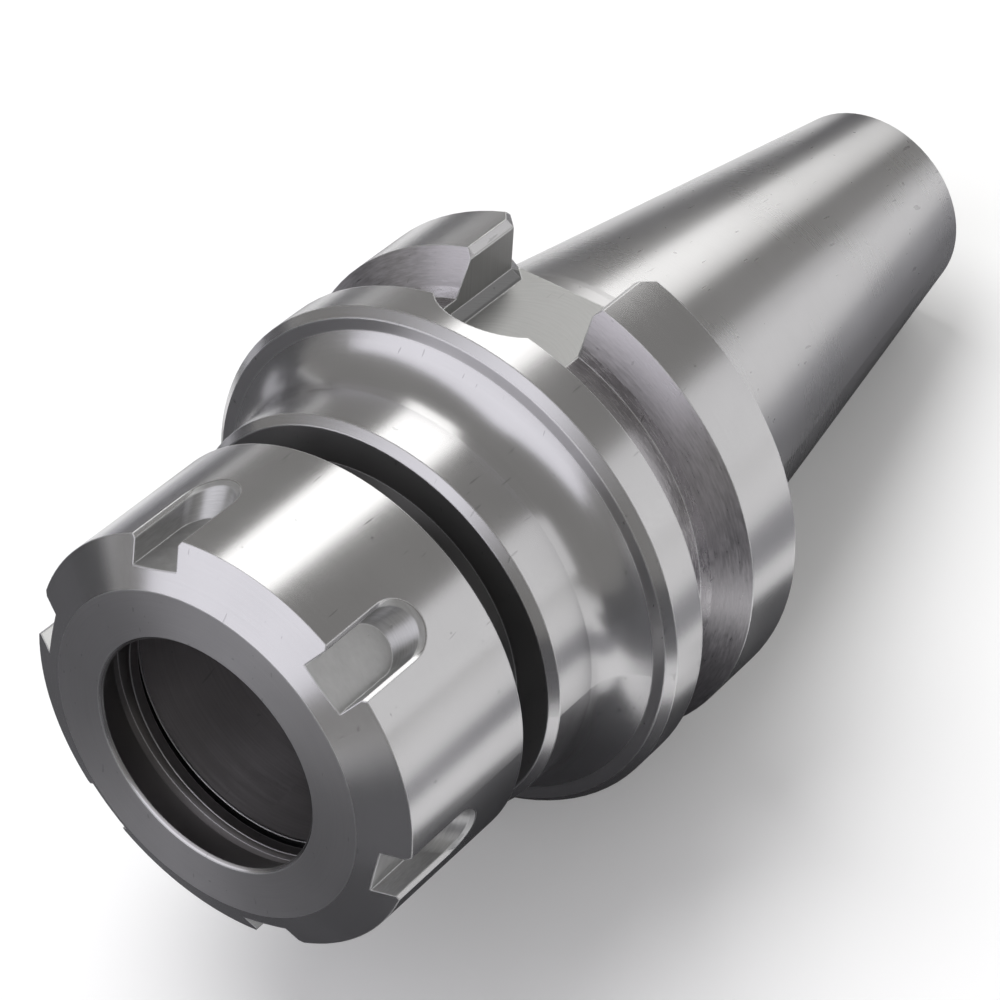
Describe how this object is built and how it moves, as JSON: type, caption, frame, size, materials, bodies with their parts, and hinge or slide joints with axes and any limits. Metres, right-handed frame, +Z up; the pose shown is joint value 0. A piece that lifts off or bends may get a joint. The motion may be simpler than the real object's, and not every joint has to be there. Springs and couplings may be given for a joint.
{
  "type": "collet chuck holder",
  "caption": "Steel machine tool holder with a steep taper shank, a V-grooved flange with drive slots, a short round body and a slotted clamping nut over a collet socket.",
  "frame": {"origin": "centre of the taper's gauge plane, on the tool axis", "axes": "+Z up, +Y level towards the small end of the taper. The tool axis dips 14.12 degrees below +Y, because the holder rests on its flange, one drive slot down, and on the rim of its tail"},
  "size_m": [0.063, 0.1363, 0.0682],
  "materials": {
    "holder_steel": "ground taper and flange, turned body, milled drive slots",
    "nut_steel": "finely ground outside with milled wrench slots, satin grey front face"
  },
  "bodies": {
    "holder": {"holder_body": "holder_steel"},
    "nut": {"clamping_nut": "nut_steel"}
  },
  "joints": [
    {"name": "nut_turn", "type": "hinge", "parent": "holder", "child": "nut", "pos_m": [0, 0, 0], "axis": [0, 0.9698, -0.244], "range_deg": [-3200, 240]}
  ]
}
